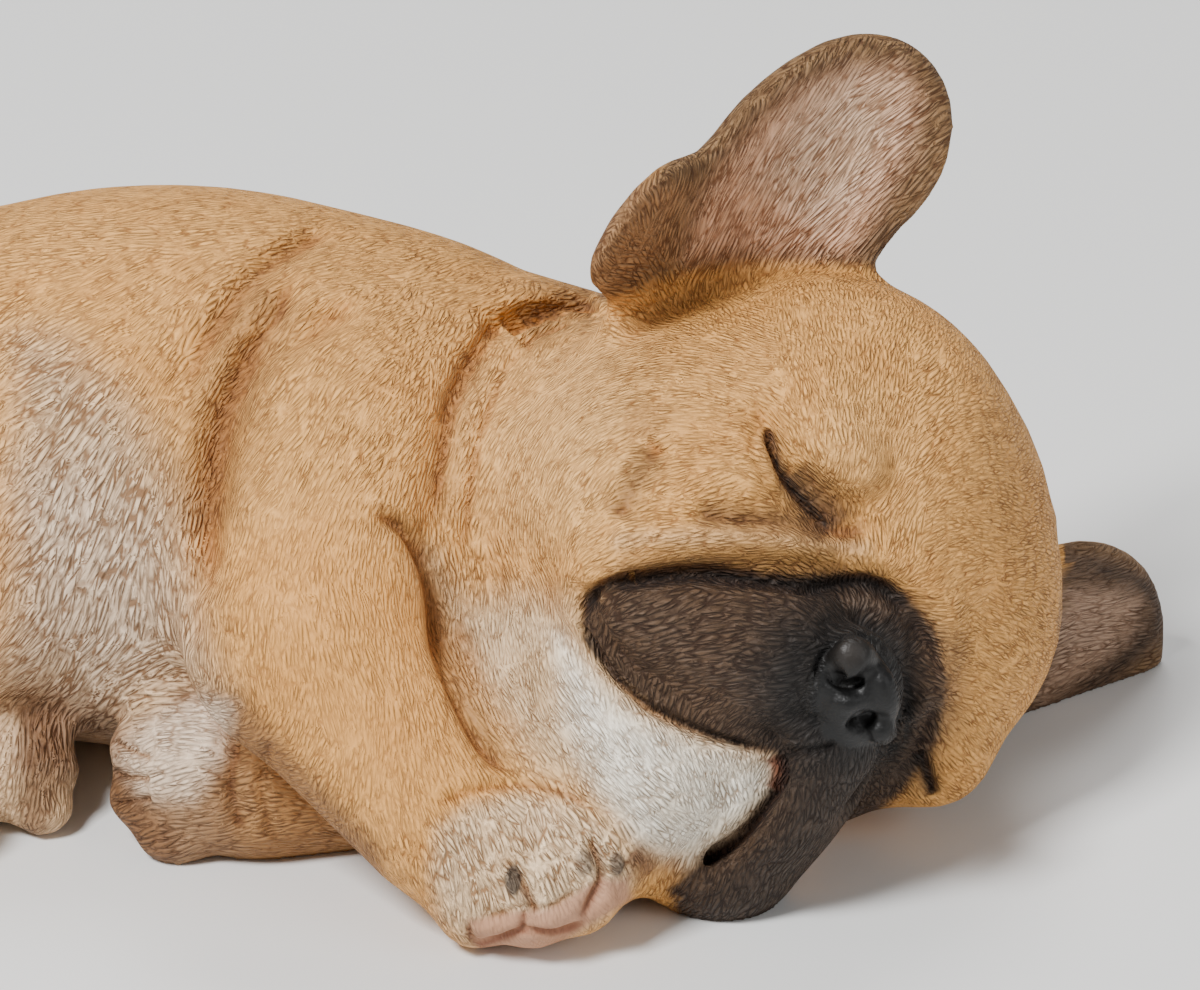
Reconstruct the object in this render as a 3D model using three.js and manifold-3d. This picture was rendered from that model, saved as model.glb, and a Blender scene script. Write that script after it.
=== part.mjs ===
// A French bulldog puppy asleep on its left side, its belly and face turned to the front. The ornament is
// one cast piece, built here as one solid: soft forms for the body, limbs, head and ears run together, the
// wrinkles are pressed in along curves, and the underside is cut flat where the figure lies on a shelf.
// Millimetres, +X from the tail to the head, +Y from the belly to the back, +Z up.
import * as THREE from "three";
import { mergeVertices } from "three/addons/utils/BufferGeometryUtils.js";
import { edgeTable, triTable } from "three/addons/objects/MarchingCubes.js";
import Module from "manifold-3d";

// Driving dimensions. The pose, proportions and carving below are drawn at DRAWN_LENGTH, from the tail stub
// to the tip of the lower ear, and are held as shares of the figure's real length.
const FIGURE_LENGTH = 308.7;
const DRAWN_LENGTH = 308.7;
const FINEST_CELL = 1.8;
const TRIANGLES = 9600;

// Body forms: where each one's middle is and its three half-widths.
const BODY = {
  ribs: { at: [-48, 102, 50], half: [82, 57, 54] },
  shoulders: { at: [2, 102, 43], half: [46, 48, 46] },
  hips: { at: [-106, 106, 46], half: [45, 52, 46] },
  neck: { at: [36, 86, 43], half: [36, 44, 41] },
};

// Limbs are bars with a radius at each end.
const THROAT = { from: [26, 84, 56], thick: 33, to: [36, 48, 34], thin: 27 };
const TAIL = { from: [-142, 122, 50], thick: 9, to: [-154, 127, 47], thin: 6.5 };
const RIGHT_UPPER_ARM = { from: [-10, 64, 66], thick: 31, to: [-19, 32, 50], thin: 21 };
const RIGHT_FOREARM = { from: [-19, 32, 50], thick: 21, to: [7, 15, 24], thin: 17 };
const LEFT_FORELEG = { from: [40, 60, 14], thick: 17, to: [-26, 46, 12.5], thin: 15.5 };
const RIGHT_THIGH = { from: [-106, 104, 58], thick: 37, to: [-90, 64, 50], thin: 25 };
const RIGHT_SHIN = { from: [-90, 64, 50], thick: 22, to: [-124, 44, 26], thin: 13 };
const RIGHT_FOOT = { from: [-124, 44, 26], thick: 12, to: [-94, 36, 14], thin: 11.5 };
const LEFT_FOOT = { from: [-112, 62, 14], thick: 14, to: [-84, 54, 12], thin: 11 };

// Paws, each with the middles of its toes.
const RIGHT_PAW = {
  at: [22, 11, 16],
  half: [20, 16, 17],
  toe: [8.5, 9.5, 12.5],
  toes: [[13, 5, 13], [24, 2, 15], [33, 5, 16], [35, 13, 17]],
};
const LEFT_PAW = {
  at: [-36, 46, 15],
  half: [18, 16, 16],
  toe: [8, 7, 6.5],
  toes: [[-44, 50, 26], [-49, 47, 18], [-49, 43, 10], [-44, 39, 5]],
};
const HIND_PAW = {
  at: [-78, 52, 12],
  half: [13, 11, 11],
  toe: [6, 5.5, 5],
  toes: [[-70, 55, 17], [-69, 51, 11], [-70, 47, 5]],
};

// How wide the forms run into one another where they join.
const SEAM = {
  body: 15, upperArm: 20, throat: 16, thigh: 14, tail: 8,
  toe: 3, wrist: 6, hock: 4, forelegs: 2, legs: 4, toBody: 5,
  temple: 12, cheek: 16, lid: 9, muzzle: 8, jaw: 8, flews: 3, flewToFace: 2, nose: 1, nostril: 1.5,
  neck: 16, ear: 6, lobe: 8, earRim: 4,
};

// Where the head lies, and its own axes: left side, nose and crown.
const HEAD_CENTRE = [70, 54, 51];
const HEAD_LEFT = new THREE.Vector3(0.303, 0.06, -0.951).normalize();
const HEAD_NOSE = new THREE.Vector3(0.412, -0.909, 0.073).normalize();

// Forms of the head in its own axes. Those to one side are mirrored to the other, and the lips and chin hang
// towards the side that the head lies on.
const HEAD = {
  skull: { at: [0, -6, 9], half: [52, 44, 48] },
  temple: { at: [22, 0, 22], half: [24, 29, 25] },
  lid: { at: [37, 18, 12], half: [12, 12, 10] },
  muzzle: { at: [0, 16, -19], half: [33, 26, 23] },
  rightCheek: { at: [-31, 2, -16], half: [24, 30, 28] },
  leftCheek: { at: [26, -6, -14], half: [22, 27, 26] },
  jaw: { at: [3, 8, -40], half: [25, 27, 19] },
  chin: { at: [7, 23, -41], half: [16, 14, 12] },
  nose: { at: [0, 44, -6], half: [12, 8.5, 9.5] },
};
const RIGHT_FLEW = { from: [-9, 32, -15], thick: 15.5, to: [-25, 19, -31], thin: 15 };
const LEFT_FLEW = { from: [10, 32, -14], thick: 15.5, to: [33, 19, -33], thin: 16 };
const NOSTRIL = { at: [5.5, 52, -8], half: [3.2, 5, 2.4] };

// Creases: the places they run through, half their width and their depth. A ridge has a depth below none.
const BODY_CREASES = [
  {
    through: [[-14, 71, 99], [-27, 62, 95], [-34, 52, 87], [-38, 39, 70], [-39, 28, 56]],
    width: 4,
    depth: 4.5,
  },
  { through: [[-18, 102, 98], [-28, 88, 100], [-36, 72, 96], [-42, 62, 91]], width: 2.4, depth: 1.6 },
  { through: [[34, 96, 86], [20, 82, 90], [11, 62, 90], [6, 45, 83], [5, 35, 68]], width: 2.6, depth: 2 },
  { through: [[18, 82, 91], [28, 88, 90], [35, 90, 88]], width: 4, depth: 4 },
  { through: [[-31, 44, 29], [-33, 34, 23], [-31, 30, 12]], width: 2.6, depth: 2 },
];
const FACE_CREASES = [
  {
    through: [[30, 25, -42], [32, 29, -32], [25, 35, -13], [17, 37, -1], [9, 38, 9], [0, 38, 12]],
    width: 2.4,
    depth: 3.4,
  },
  {
    through: [[37, 20, -37], [37, 28, -25], [30, 34, -8], [21, 36, 4], [12, 37, 14], [0, 38, 18]],
    width: 3.4,
    depth: -2.4,
  },
  { through: [[24, 34, 5], [34, 30, 1], [47, 22, 1]], width: 1.8, depth: 2.6 },
  { through: [[23, 34, 5], [33, 30, 3]], width: 5, depth: 2.6 },
  { through: [[47, 22, -16], [51, 14, -24]], width: 3, depth: 1.6 },
];
const LIP_LINES = [
  {
    through: [[-30, 22, -43], [-23, 26, -43], [-16, 30, -42], [-9, 35, -39], [-1, 40, -33], [5, 42, -24]],
    width: 2.4,
    depth: 5,
  },
  {
    through: [[5, 42, -24], [16, 39, -28], [25, 33, -35], [30, 25, -43], [31, 14, -50]],
    width: 2.4,
    depth: 5,
  },
  { through: [[5, 45, -23], [1, 47, -16]], width: 1.6, depth: 2.5 },
];
const CURVE_STEPS = 14;
const CREASE_REACH = 3;

// The ears: a round-topped blade with a folded lobe at the outer edge of its base, cupped to the front.
const EAR = {
  length: 60, straight: 30, half: 24.5, middle: 5.5,
  lean: 0.22, root: 34, thick: 3.2, cup: 0.011,
};
const LOBE = { at: [32, 3], half: [12, 15] };
const RIGHT_EAR = { at: [-46, -22, 15.5], outward: -30, back: 0 };
const LEFT_EAR = { at: [49, -18, 24], outward: 23, back: 9 };

function axesFrom(left, nose) {
  const crown = new THREE.Vector3().crossVectors(nose, left).normalize();
  return [left, new THREE.Vector3().crossVectors(left, crown), crown];
}

const HEAD_AXES = axesFrom(HEAD_LEFT, HEAD_NOSE);
const HEAD_ROWS = HEAD_AXES.map((a) => a.toArray());

// A point in the axes of a frame that stands at an origin.
function local(p, origin, axes) {
  const x = p[0] - origin[0];
  const y = p[1] - origin[1];
  const z = p[2] - origin[2];
  return axes.map((a) => a[0] * x + a[1] * y + a[2] * z);
}

// A point of the head's own axes, in the figure's.
function fromHead(q) {
  const [left, nose, crown] = HEAD_ROWS;
  return HEAD_CENTRE.map((c, i) => c + left[i] * q[0] + nose[i] * q[1] + crown[i] * q[2]);
}

// Distance from a point to an egg-shaped form.
function egg(p, { at, half }) {
  const x = (p[0] - at[0]) / half[0];
  const y = (p[1] - at[1]) / half[1];
  const z = (p[2] - at[2]) / half[2];
  const near = Math.sqrt(x * x + y * y + z * z);
  const steep = Math.sqrt((x / half[0]) ** 2 + (y / half[1]) ** 2 + (z / half[2]) ** 2);
  return (near * (near - 1)) / Math.max(steep, 1e-6);
}

// Distance to a limb.
function limb(p, { from, thick, to, thin }) {
  const bx = to[0] - from[0];
  const by = to[1] - from[1];
  const bz = to[2] - from[2];
  const x = p[0] - from[0];
  const y = p[1] - from[1];
  const z = p[2] - from[2];
  const t = Math.min(Math.max((x * bx + y * by + z * bz) / (bx * bx + by * by + bz * bz), 0), 1);
  const dx = x - bx * t;
  const dy = y - by * t;
  const dz = z - bz * t;
  return Math.sqrt(dx * dx + dy * dy + dz * dz) - (thick + (thin - thick) * t);
}

// Two forms run together over a seam of this width.
function join(a, b, seam) {
  const h = Math.max(seam - Math.abs(a - b), 0) / seam;
  return Math.min(a, b) - (h * h * seam) / 4;
}

function paw(p, { at, half, toe, toes }) {
  let d = egg(p, { at, half });
  for (const middle of toes) d = join(d, egg(p, { at: middle, half: toe }), SEAM.toe);
  return d;
}

function torso(p) {
  let d = egg(p, BODY.ribs);
  for (const form of [BODY.shoulders, BODY.hips, BODY.neck]) d = join(d, egg(p, form), SEAM.body);
  d = join(d, limb(p, RIGHT_UPPER_ARM), SEAM.upperArm);
  d = join(d, limb(p, THROAT), SEAM.throat);
  d = join(d, limb(p, RIGHT_THIGH), SEAM.thigh);
  return join(d, limb(p, TAIL), SEAM.tail);
}

function legs(p) {
  const right = join(limb(p, RIGHT_FOREARM), paw(p, RIGHT_PAW), SEAM.wrist);
  const left = join(limb(p, LEFT_FORELEG), paw(p, LEFT_PAW), SEAM.wrist);
  const upper = join(limb(p, RIGHT_SHIN), limb(p, RIGHT_FOOT), SEAM.wrist);
  const lower = join(limb(p, LEFT_FOOT), paw(p, HIND_PAW), SEAM.hock);
  return join(join(right, left, SEAM.forelegs), join(upper, lower, SEAM.hock), SEAM.legs);
}

function earAxes({ outward, back }) {
  const side = THREE.MathUtils.degToRad(outward);
  const lean = THREE.MathUtils.degToRad(back);
  const [left, nose, crown] = HEAD_AXES;
  const straight = crown.clone().multiplyScalar(Math.cos(side)).addScaledVector(left, Math.sin(side));
  const across = new THREE.Vector3().crossVectors(nose, straight).normalize();
  const up = straight.multiplyScalar(Math.cos(lean)).addScaledVector(nose, -Math.sin(lean));
  return [across, new THREE.Vector3().crossVectors(up, across), up].map((a) => a.toArray());
}

const EARS = [RIGHT_EAR, LEFT_EAR].map((e) => ({ at: fromHead(e.at), axes: earAxes(e) }));

function ear(p, { at, axes }) {
  const [across, front, up] = local(p, at, axes);
  const above = up - EAR.straight;
  const sideways = (across - EAR.middle + EAR.lean * Math.max(above, 0)) / EAR.half;
  const lengthways = above / (above > 0 ? EAR.length - EAR.straight : EAR.root + EAR.straight);
  const blade = (Math.hypot(sideways, lengthways) - 1) * EAR.half;
  const outOfLobe = Math.hypot((across - LOBE.at[0]) / LOBE.half[0], (up - LOBE.at[1]) / LOBE.half[1]);
  const lobe = (outOfLobe - 1) * LOBE.half[0];
  const cupped = front - EAR.cup * across * across;
  return -join(-join(blade, lobe, SEAM.lobe), -(Math.abs(cupped) - EAR.thick), SEAM.earRim);
}

// A crease's curve, as the short bars that its distance is taken from.
function curveOf({ through, width, depth }) {
  const curve = new THREE.CatmullRomCurve3(through.map((q) => new THREE.Vector3(...q)));
  const points = curve.getPoints(CURVE_STEPS).map((q) => q.toArray());
  const bars = points.slice(1).map((to, i) => ({ from: points[i], thick: 0, to, thin: 0 }));
  const round = new THREE.Sphere().setFromPoints(points.map((q) => new THREE.Vector3(...q)));
  return { bars, width, depth, middle: round.center.toArray(), reach: round.radius + CREASE_REACH * width };
}

// How far the surface is pressed in at a point by a set of creases.
function pressed(p, curves) {
  let depth = 0;
  for (const c of curves) {
    if (Math.hypot(p[0] - c.middle[0], p[1] - c.middle[1], p[2] - c.middle[2]) > c.reach) continue;
    let near = Infinity;
    for (const bar of c.bars) near = Math.min(near, limb(p, bar));
    depth += c.depth * Math.exp(-((near / c.width) ** 2));
  }
  return depth;
}

const BODY_CURVES = BODY_CREASES.map(curveOf);
const FACE_CURVES = FACE_CREASES.map(curveOf);
const LIP_CURVES = LIP_LINES.map(curveOf);

function head(p) {
  const q = local(p, HEAD_CENTRE, HEAD_ROWS);
  const half = [Math.abs(q[0]), q[1], q[2]];
  let d = egg(q, HEAD.skull);
  d = join(d, egg(half, HEAD.temple), SEAM.temple);
  d = join(d, join(egg(q, HEAD.rightCheek), egg(q, HEAD.leftCheek), SEAM.cheek), SEAM.cheek);
  d = join(d, egg(half, HEAD.lid), SEAM.lid);
  d = join(d, egg(q, HEAD.muzzle), SEAM.muzzle);
  d = join(d, join(egg(q, HEAD.jaw), egg(q, HEAD.chin), SEAM.jaw), SEAM.jaw);
  d = join(d, join(limb(q, RIGHT_FLEW), limb(q, LEFT_FLEW), SEAM.flews), SEAM.flewToFace);
  d += pressed(half, FACE_CURVES) + pressed(q, LIP_CURVES);
  d = join(d, egg(q, HEAD.nose), SEAM.nose);
  return -join(-d, egg(half, NOSTRIL), SEAM.nostril);
}

function figure(p) {
  let d = join(torso(p), legs(p), SEAM.toBody);
  d = join(d, head(p), SEAM.neck);
  for (const e of EARS) d = join(d, ear(p, e), SEAM.ear);
  return d + pressed(p, BODY_CURVES);
}

// The surface where a field is zero, found cell by cell over a box. A block of cells is only looked through
// where the field at its middle is within reach of zero.
const BLOCK = 6;
const SURE_REACH = 1.5;

function surfaceOf(field, low, high, cell) {
  const count = low.map((l, i) => Math.ceil((high[i] - l) / cell) + 1);
  const [nx, ny, nz] = count;
  const values = new Float32Array(nx * ny * nz);
  const block = BLOCK;
  const reach = SURE_REACH * block * cell;
  for (let k0 = 0; k0 < nz; k0 += block)
    for (let j0 = 0; j0 < ny; j0 += block)
      for (let i0 = 0; i0 < nx; i0 += block) {
        const middle = [i0, j0, k0].map((n, i) => low[i] + (n + block / 2) * cell);
        const rough = field(middle);
        const sure = Math.abs(rough) > reach;
        for (let k = k0; k < Math.min(k0 + block, nz); k++)
          for (let j = j0; j < Math.min(j0 + block, ny); j++)
            for (let i = i0; i < Math.min(i0 + block, nx); i++)
              values[i + nx * (j + ny * k)] = sure
                ? rough
                : field([low[0] + i * cell, low[1] + j * cell, low[2] + k * cell]);
      }
  const corner = [0, 1, nx + 1, nx, nx * ny, nx * ny + 1, nx * ny + nx + 1, nx * ny + nx];
  const ends = [
    [0, 1], [1, 2], [3, 2], [0, 3], [4, 5], [5, 6], [7, 6], [4, 7], [0, 4], [1, 5], [2, 6], [3, 7],
  ];
  const found = new Map();
  const points = [];
  const triangles = [];
  const crossing = (a, b) => {
    const key = a * 4 + (b - a === 1 ? 0 : b - a === nx ? 1 : 2);
    if (!found.has(key)) {
      const t = values[a] / (values[a] - values[b]);
      const at = [a, b].map((n) => [n % nx, Math.floor(n / nx) % ny, Math.floor(n / (nx * ny))]);
      found.set(key, points.length);
      points.push(at[0].map((n, i) => low[i] + (n + (at[1][i] - n) * t) * cell));
    }
    return found.get(key);
  };
  for (let k = 0; k + 1 < nz; k++)
    for (let j = 0; j + 1 < ny; j++)
      for (let i = 0; i + 1 < nx; i++) {
        const base = i + nx * (j + ny * k);
        let code = 0;
        for (let c = 0; c < 8; c++) if (values[base + corner[c]] > 0) code |= 1 << c;
        if (!edgeTable[code]) continue;
        const at = ends.map(([a, b], e) =>
          edgeTable[code] & (1 << e) ? crossing(base + corner[a], base + corner[b]) : -1,
        );
        for (let t = code * 16; triTable[t] !== -1; t += 3)
          triangles.push([at[triTable[t]], at[triTable[t + 1]], at[triTable[t + 2]]]);
      }
  return { points, triangles };
}

// Adds to a corner's error terms those of the plane through a triangle, by the triangle's area.
function addPlane(terms, normal, offset, weight) {
  const plane = [...normal, offset];
  let n = 0;
  for (let i = 0; i < 4; i++) for (let j = i; j < 4; j++) terms[n++] += weight * plane[i] * plane[j];
}

function errorAt(q, [x, y, z]) {
  return (
    q[0] * x * x + q[4] * y * y + q[7] * z * z + q[9] +
    2 * (q[1] * x * y + q[2] * x * z + q[5] * y * z + q[3] * x + q[6] * y + q[8] * z)
  );
}

// The point with the least error, or the middle of the edge where there is no clear one.
const FLAT_ENOUGH = 1e-4;

function bestPoint(q, a, b) {
  const middle = a.map((x, i) => (x + b[i]) / 2);
  const m = new THREE.Matrix3().set(q[0], q[1], q[2], q[1], q[4], q[5], q[2], q[5], q[7]);
  const scale = (q[0] + q[4] + q[7]) / 3;
  if (Math.abs(m.determinant()) < FLAT_ENOUGH * scale ** 3) return middle;
  const at = new THREE.Vector3(-q[3], -q[6], -q[8]).applyMatrix3(m.invert()).toArray();
  const far = Math.hypot(...at.map((x, i) => x - middle[i]));
  return far > Math.hypot(...a.map((x, i) => x - b[i])) ? middle : at;
}

function normalOf(a, b, c) {
  const u = [b[0] - a[0], b[1] - a[1], b[2] - a[2]];
  const w = [c[0] - a[0], c[1] - a[1], c[2] - a[2]];
  return [u[1] * w[2] - u[2] * w[1], u[2] * w[0] - u[0] * w[2], u[0] * w[1] - u[1] * w[0]];
}

const dot = (a, b) => a[0] * b[0] + a[1] * b[1] + a[2] * b[2];

// A heap that gives back its cheapest entry first.
class Cheapest {
  entries = [];

  push(entry) {
    const e = this.entries;
    let i = e.push(entry) - 1;
    while (i > 0) {
      const up = (i - 1) >> 1;
      if (e[up].cost <= e[i].cost) break;
      [e[up], e[i]] = [e[i], e[up]];
      i = up;
    }
  }

  pop() {
    const e = this.entries;
    const top = e[0];
    const last = e.pop();
    if (!e.length) return top;
    e[0] = last;
    for (let i = 0; ; ) {
      let low = 2 * i + 1;
      if (low >= e.length) return top;
      if (low + 1 < e.length && e[low + 1].cost < e[low].cost) low++;
      if (e[i].cost <= e[low].cost) return top;
      [e[low], e[i]] = [e[i], e[low]];
      i = low;
    }
  }
}

// The same surface in fewer triangles: the edge whose loss moves it least is closed up first. Long edges
// cost a little more, and no triangle may turn past the steepest turn.
const LONG_EDGE_COST = 2e-4;
const STEEPEST_TURN = 0.3;

function thinned({ points, triangles }, target) {
  const terms = points.map(() => new Float64Array(10));
  const around = points.map(() => new Set());
  const age = new Uint32Array(points.length);
  triangles.forEach((t, n) => {
    const normal = normalOf(...t.map((v) => points[v]));
    const size = Math.sqrt(dot(normal, normal)) || 1e-12;
    const unit = normal.map((x) => x / size);
    for (const v of t) {
      addPlane(terms[v], unit, -dot(unit, points[t[0]]), size / 2);
      around[v].add(n);
    }
  });
  const near = (v) => new Set([...around[v]].flatMap((n) => triangles[n]).filter((w) => w !== v));
  const heap = new Cheapest();
  const consider = (a, b) => {
    const both = terms[a].map((x, i) => x + terms[b][i]);
    const at = bestPoint(both, points[a], points[b]);
    const apart = Math.hypot(...points[a].map((x, i) => x - points[b][i]));
    heap.push({ cost: errorAt(both, at) + LONG_EDGE_COST * apart ** 3, a, b, at, both, ages: age[a] + age[b] });
  };
  points.forEach((_, a) => near(a).forEach((b) => a < b && consider(a, b)));
  let left = triangles.length;
  while (left > target && heap.entries.length) {
    const { a, b, at, both, ages } = heap.pop();
    if (!around[a].size || !around[b].size || ages !== age[a] + age[b]) continue;
    const nearA = near(a);
    if (!nearA.has(b) || [...near(b)].filter((v) => nearA.has(v)).length !== 2) continue;
    const turns = (v, other) =>
      [...around[v]].some((n) => {
        const t = triangles[n];
        if (t.includes(other)) return false;
        const before = normalOf(...t.map((w) => points[w]));
        const after = normalOf(...t.map((w) => (w === v ? at : points[w])));
        const sizes = Math.sqrt(dot(before, before) * dot(after, after));
        return dot(before, after) < STEEPEST_TURN * sizes;
      });
    if (turns(a, b) || turns(b, a)) continue;
    for (const n of around[b]) {
      const t = triangles[n];
      if (t.includes(a)) {
        t.forEach((v) => around[v].delete(n));
        triangles[n] = null;
        left--;
      } else {
        t[t.indexOf(b)] = a;
        around[a].add(n);
      }
    }
    around[b].clear();
    points[a] = at;
    terms[a] = both;
    age[a]++;
    near(a).forEach((v) => consider(a, v));
  }
  return { points, triangles: triangles.filter((t) => t) };
}

function geometryOf({ points, triangles }) {
  const geometry = new THREE.BufferGeometry();
  geometry.setAttribute("position", new THREE.Float32BufferAttribute(points.flat(), 3));
  geometry.setIndex(triangles.flat());
  return geometry;
}

const wasm = await Module();
wasm.setup();

function solidOf(geometry) {
  return new wasm.Manifold(
    new wasm.Mesh({
      numProp: 3,
      vertProperties: geometry.attributes.position.array,
      triVerts: new Uint32Array(geometry.index.array),
    }),
  );
}

function geometryFrom(solid) {
  const mesh = solid.getMesh();
  const geometry = new THREE.BufferGeometry();
  geometry.setAttribute("position", new THREE.BufferAttribute(new Float32Array(mesh.vertProperties), 3));
  geometry.setIndex(new THREE.BufferAttribute(new Uint32Array(mesh.triVerts), 1));
  return geometry;
}

// The room that the figure is worked out in.
const ROOM = { low: [-170, -24, -40], high: [168, 178, 172] };
const rough = surfaceOf(figure, ROOM.low, ROOM.high, FINEST_CELL);
const light = thinned(rough, TRIANGLES);

// The underside is cut flat at the shelf, which reaches past the figure on every side.
const SHELF = {
  width: 1.2 * (ROOM.high[0] - ROOM.low[0]),
  depth: 1.2 * (ROOM.high[1] - ROOM.low[1]),
  thick: -1.5 * ROOM.low[2],
};
const middleOf = (i) => (ROOM.low[i] + ROOM.high[i]) / 2;
const shelf = new THREE.BoxGeometry(SHELF.width, SHELF.depth, SHELF.thick);
shelf.translate(middleOf(0), middleOf(1), -SHELF.thick / 2);
shelf.deleteAttribute("normal");
shelf.deleteAttribute("uv");
const stone = solidOf(geometryOf(light)).subtract(solidOf(mergeVertices(shelf)));
const geometry = geometryFrom(stone);
geometry.scale(...Array(3).fill(FIGURE_LENGTH / DRAWN_LENGTH));
geometry.computeBoundingBox();
const box = geometry.boundingBox;
geometry.translate(-(box.min.x + box.max.x) / 2, -(box.min.y + box.max.y) / 2, 0);

const resin = new THREE.MeshStandardMaterial({ color: 0xc9a26d, roughness: 0.75, metalness: 0 });
const puppy = new THREE.Mesh(geometry, resin);
puppy.name = "french_bulldog";

const part = new THREE.Group();
part.add(puppy);

export default part;
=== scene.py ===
import math

import bpy
import numpy as np
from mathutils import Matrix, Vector


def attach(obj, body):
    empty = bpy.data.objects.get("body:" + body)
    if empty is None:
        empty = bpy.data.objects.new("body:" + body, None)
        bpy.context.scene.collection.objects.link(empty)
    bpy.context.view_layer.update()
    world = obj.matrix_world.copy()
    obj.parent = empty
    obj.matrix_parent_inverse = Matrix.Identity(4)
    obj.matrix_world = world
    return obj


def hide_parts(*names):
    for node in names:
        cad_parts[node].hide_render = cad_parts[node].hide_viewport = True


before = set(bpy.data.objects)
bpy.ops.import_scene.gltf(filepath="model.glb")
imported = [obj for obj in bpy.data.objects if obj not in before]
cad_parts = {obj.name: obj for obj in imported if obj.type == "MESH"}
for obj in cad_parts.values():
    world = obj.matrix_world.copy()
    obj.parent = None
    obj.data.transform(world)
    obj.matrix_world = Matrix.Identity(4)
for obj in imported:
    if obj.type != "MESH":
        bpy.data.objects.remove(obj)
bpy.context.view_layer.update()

# The casting: a sleeping French bulldog puppy in one piece of cast resin, with its fur carved in the mould.
# The solid gives its form. It is made finer here, and its folds, face and toes are cut sharper.

MM = 0.001
SAME_PLACE = 0.001 * MM
GRAIN = 0.72 * MM
SOFTEN_SHARE = 0.5
SOFTEN_ROUNDS = 9
UNDERSIDE_REACH = 0.45
MOST_TRIANGLES = 196000

bpy.ops.object.select_all(action="DESELECT")
puppy = bpy.data.objects.new("puppy_casting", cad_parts["french_bulldog"].data.copy())
bpy.context.scene.collection.objects.link(puppy)
bpy.context.view_layer.objects.active = puppy
puppy.select_set(True)
bpy.ops.object.mode_set(mode="EDIT")
bpy.ops.mesh.select_all(action="SELECT")
bpy.ops.mesh.remove_doubles(threshold=SAME_PLACE)
bpy.ops.object.mode_set(mode="OBJECT")

finer = puppy.modifiers.new("finer", "REMESH")
finer.mode = "VOXEL"
finer.voxel_size = GRAIN
bpy.ops.object.modifier_apply(modifier=finer.name)
softer = puppy.modifiers.new("softer", "SMOOTH")
softer.factor = SOFTEN_SHARE
softer.iterations = SOFTEN_ROUNDS
bpy.ops.object.modifier_apply(modifier=softer.name)


def places_of(piece):
    """Where a piece's vertices are, in millimetres."""
    flat = np.zeros(3 * len(piece.data.vertices), np.float32)
    piece.data.vertices.foreach_get("co", flat)
    return flat.reshape(-1, 3).astype(float) / MM


def facings_of(piece):
    """Which way the surface faces at each vertex."""
    flat = np.zeros(3 * len(piece.data.vertices), np.float32)
    piece.data.vertex_normals.foreach_get("vector", flat)
    return flat.reshape(-1, 3).astype(float)


def place(piece, places):
    """Moves a piece's vertices to places in millimetres."""
    piece.data.vertices.foreach_set("co", (places * MM).astype(np.float32).ravel())
    piece.data.update()


TINY = 1e-9


def unit(vectors):
    """The same ways with a length of 1."""
    vectors = np.asarray(vectors, float)
    return vectors / np.maximum(np.linalg.norm(vectors, axis=-1, keepdims=True), TINY)


def ramp(value, start, end):
    """0 before start and 1 past end, smooth between them."""
    share = np.clip((value - start) / (end - start), 0, 1)
    return share * share * (3 - 2 * share)


# The front view that the small forms are drawn in, seen from 28 degrees up, at 5.3 dots to a millimetre.
EYE_HEIGHT = math.radians(28)
EYE_AWAY = 1500
AIM = np.array((42.6, -15.8, 65.9))
VIEW_SIZE = (1200, 990)
DOTS = 5.3
toward_eye = np.array((0, -math.cos(EYE_HEIGHT), math.sin(EYE_HEIGHT)))
eye = AIM + EYE_AWAY * toward_eye
view_up = np.array((0, math.sin(EYE_HEIGHT), math.cos(EYE_HEIGHT)))
SIGHT_CELL = 8
CELLS_SPARE = 200
CELLS_ACROSS = 600
SIGHT_DEPTH = 8
SIGHT_SLANT = 0.25
FAR_OFF = 1e9


class FrontView:
    """The surface as the front view shows it: where each vertex falls, and whether it is in sight."""

    def __init__(self, places, facings):
        self.places = places
        self.facings = facings
        away = places - eye
        depth = -away @ toward_eye
        dots = DOTS * EYE_AWAY / depth
        rightward = VIEW_SIZE[0] / 2 + away[:, 0] * dots
        downward = VIEW_SIZE[1] / 2 - away @ view_up * dots
        self.dots = np.stack((rightward, downward), 1)
        cells = (self.dots // SIGHT_CELL).astype(int) + CELLS_SPARE
        nearest = np.full((CELLS_ACROSS, CELLS_ACROSS), FAR_OFF)
        np.minimum.at(nearest, (cells[:, 0], cells[:, 1]), depth)
        slant = np.einsum("ij,ij->i", facings, -unit(away))
        hidden = depth - nearest[cells[:, 0], cells[:, 1]]
        self.sight = ramp(slant, 0.0, SIGHT_SLANT) * (1 - ramp(hidden, SIGHT_DEPTH, 1.5 * SIGHT_DEPTH))

    def off(self, line, reach):
        """Which vertices lie within reach of a drawn line, how far off it they are, and how far along it."""
        line = smooth_line(np.asarray(line, float))
        low, high = line.min(0) - reach, line.max(0) + reach
        near = np.nonzero(((self.dots > low) & (self.dots < high)).all(1) & (self.sight > 0))[0]
        best = np.full(len(near), FAR_OFF)
        along = np.zeros(len(near))
        for step, (a, b) in enumerate(zip(line[:-1], line[1:])):
            leg = b - a
            share = np.clip(((self.dots[near] - a) @ leg) / max(leg @ leg, TINY), 0, 1)
            off = np.linalg.norm(self.dots[near] - a - share[:, None] * leg, axis=1)
            closer = off < best
            best[closer] = off[closer]
            along[closer] = (step + share[closer]) / (len(line) - 1)
        return near, best, along


LINE_STEPS = 6


def smooth_line(points):
    """A smooth line through points."""
    if len(points) < 3:
        return points
    ends = np.concatenate((points[:1], points, points[-1:]))
    made = []
    for before, a, b, after in zip(ends[:-3], ends[1:-2], ends[2:-1], ends[3:]):
        for t in np.arange(LINE_STEPS) / LINE_STEPS:
            made.append(
                0.5 * (2 * a + (b - before) * t + (2 * before - 5 * a + 4 * b - after) * t**2
                       + (3 * a - before - 3 * b + after) * t**3)
            )
    made.append(points[-1])
    return np.array(made)


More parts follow.
